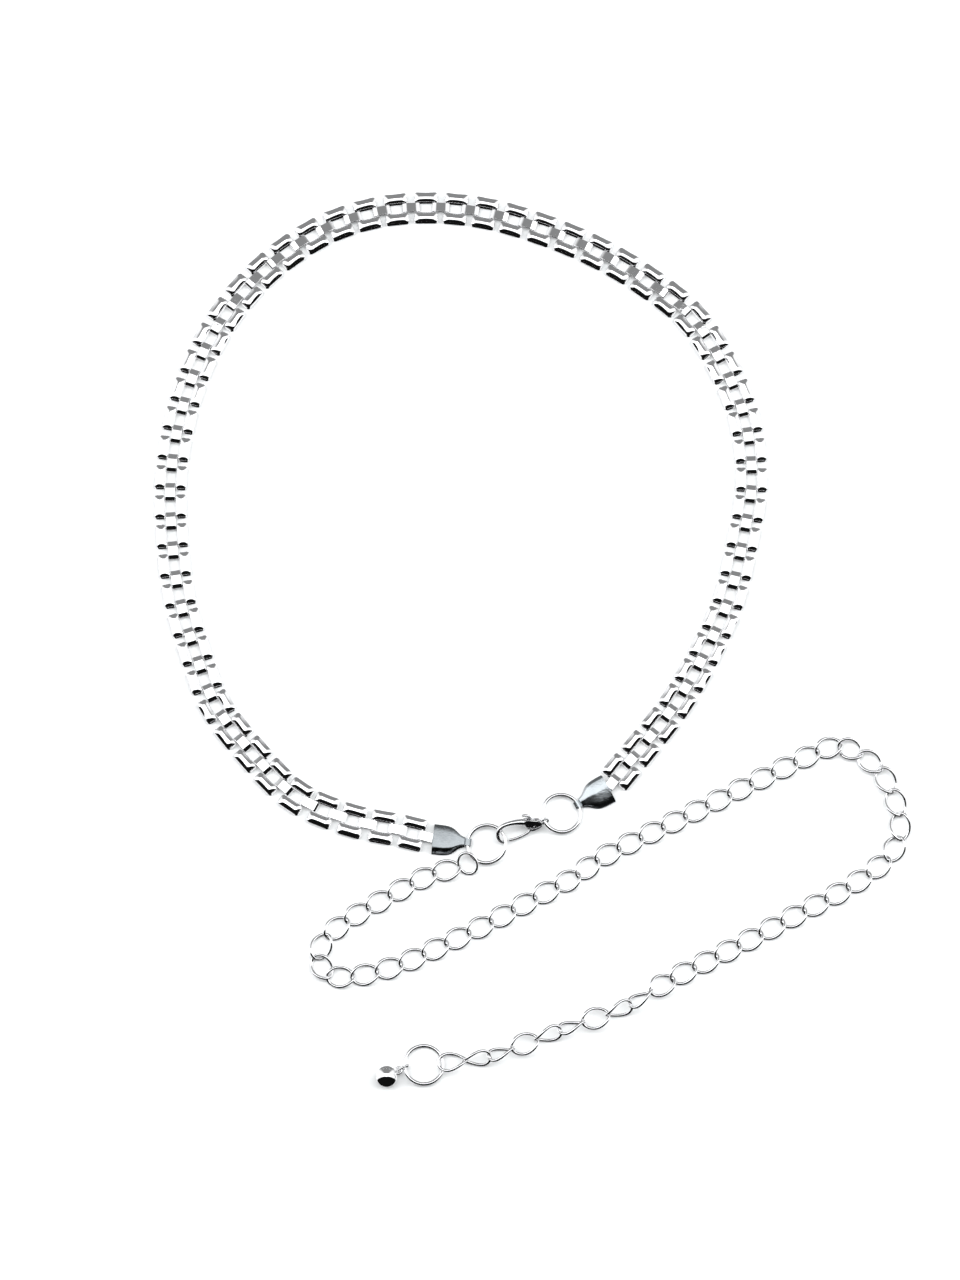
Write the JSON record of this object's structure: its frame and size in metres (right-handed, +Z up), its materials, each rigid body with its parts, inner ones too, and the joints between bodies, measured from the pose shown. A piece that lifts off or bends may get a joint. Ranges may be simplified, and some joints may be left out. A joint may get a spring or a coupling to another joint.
{
  "type": "waist chain",
  "caption": "Silver-coloured waist chain laid in a loop: broad panther links with folded end caps, a lobster clasp between two jump rings, and a long curb chain ending in a ring and ball drop",
  "frame": {"origin": "on the surface that the chain lies on, below the middle of its bounding box", "axes": "+Z up from the surface, +Y from the free end of the curb chain to the far side of the loop, +X to the right when the clasp side is near the viewer"},
  "size_m": [0.2668, 0.325, 0.0072],
  "materials": {
    "panther_links": "polished",
    "curb_links": "polished",
    "caps": "satin",
    "rings": "polished",
    "clasp": "polished",
    "ball": "mirror polished"
  },
  "bodies": {
    "chain": {"panther_chain": "panther_links", "extender_chain": "curb_links", "end_cap_left": "caps", "end_cap_right": "caps", "jump_ring_left": "rings", "jump_ring_right": "rings", "end_ring": "rings", "ball_ring": "rings", "clasp_body": "clasp", "ball_drop": "ball"},
    "lever": {"clasp_lever": "clasp"}
  },
  "joints": [
    {"name": "lever_hinge", "type": "hinge", "parent": "chain", "child": "lever", "pos_m": [0.00141, -0.07141, 0.00296], "axis": [-0.2465, 0.6628, -0.7071], "range_deg": [0, 20], "stiffness_Nm_per_rad": 0.0115, "springref_deg": -11.46}
  ]
}
